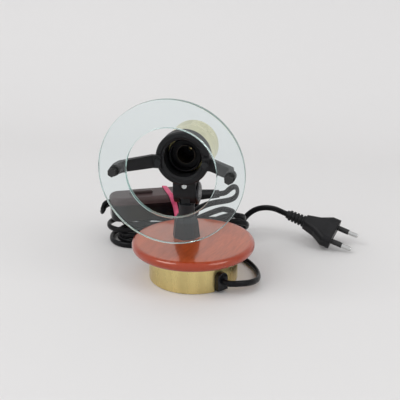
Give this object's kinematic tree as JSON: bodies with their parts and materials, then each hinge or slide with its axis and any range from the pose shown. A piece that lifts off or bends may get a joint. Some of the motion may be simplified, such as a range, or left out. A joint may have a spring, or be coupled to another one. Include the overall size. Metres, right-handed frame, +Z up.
{
  "type": "lamp",
  "caption": "Table lamp with a glass ring on a tilting head, a swivelling post on a round wood and brass base, and a corded slide dimmer",
  "frame": {"origin": "centre of the base's underside, on the table", "axes": "+Z up, -Y the way the lamp head points at rest, +X to the right as the lamp is seen from in front of its glass ring"},
  "size_m": [0.2308, 0.1564, 0.1565],
  "materials": {
    "black_rubber": "matte",
    "cord_rubber": "satin",
    "band_rubber": "satin",
    "steel": "brushed",
    "chrome": "polished",
    "iron": "rough",
    "brass": "satin",
    "wood": "varnished",
    "black_plastic": "satin",
    "gloss_black": "gloss",
    "pale_plastic": "matte",
    "glass": "clear"
  },
  "bodies": {
    "base": {"base_pad": "black_rubber", "bottom_plate": "steel", "ballast_weight": "iron", "base_screws": "steel", "brass_ring": "brass", "wood_disc": "wood", "cord_gland": "black_plastic", "inner_lead": "cord_rubber", "terminal_block": "pale_plastic", "terminal_screws": "steel", "foot_block": "black_plastic", "foot_screws": "steel", "swivel_bush": "pale_plastic", "lamp_cord": "cord_rubber", "cord_hank": "cord_rubber", "switch_cord": "cord_rubber", "plug_cord": "cord_rubber", "boot_lead": "cord_rubber", "dimmer_lower_shell": "gloss_black", "dimmer_upper_shell": "black_plastic", "dimmer_board": "pale_plastic", "dimmer_screws": "steel", "dimmer_boot": "black_rubber", "rubber_band": "band_rubber", "plug_body": "gloss_black", "plug_pins": "chrome", "plug_sleeves": "black_plastic", "plug_boot": "black_rubber", "plug_lead": "cord_rubber"},
    "post": {"swivel_stem": "steel", "stem_washer": "steel", "stem_nut": "steel", "column": "black_plastic", "pivot_washers": "pale_plastic"},
    "head": {"fork": "black_plastic", "pivot_screw": "chrome", "pivot_nut": "steel", "neck_screw": "chrome", "collar": "black_plastic", "lamp_cylinder": "brass", "lampholder_shell": "black_plastic", "holder_core": "pale_plastic", "holder_thread": "brass", "holder_contact": "brass", "holder_nipple": "steel", "holder_spacer": "pale_plastic", "rear_nut": "brass", "arm_left": "black_plastic", "arm_right": "black_plastic", "arm_screws": "chrome", "glass_ring": "glass", "glass_bushes": "black_rubber", "peg_caps": "black_plastic"},
    "dimmer_slide": {"dimmer_slider": "gloss_black"}
  },
  "joints": [
    {"name": "post_swivel", "type": "hinge", "parent": "base", "child": "post", "pos_m": [-0.0069, 0.0067, 0.0415], "axis": [0, 0, 1], "range_deg": [-160, 160]},
    {"name": "head_tilt", "type": "hinge", "parent": "post", "child": "head", "pos_m": [-0.0069, 0.0067, 0.0697], "axis": [-1, 0, 0], "range_deg": [-12, 80]},
    {"name": "dimmer_travel", "type": "slide", "parent": "base", "child": "dimmer_slide", "axis": [0.9135, 0.4067, 0], "range_m": [-0.007, 0.007]}
  ]
}
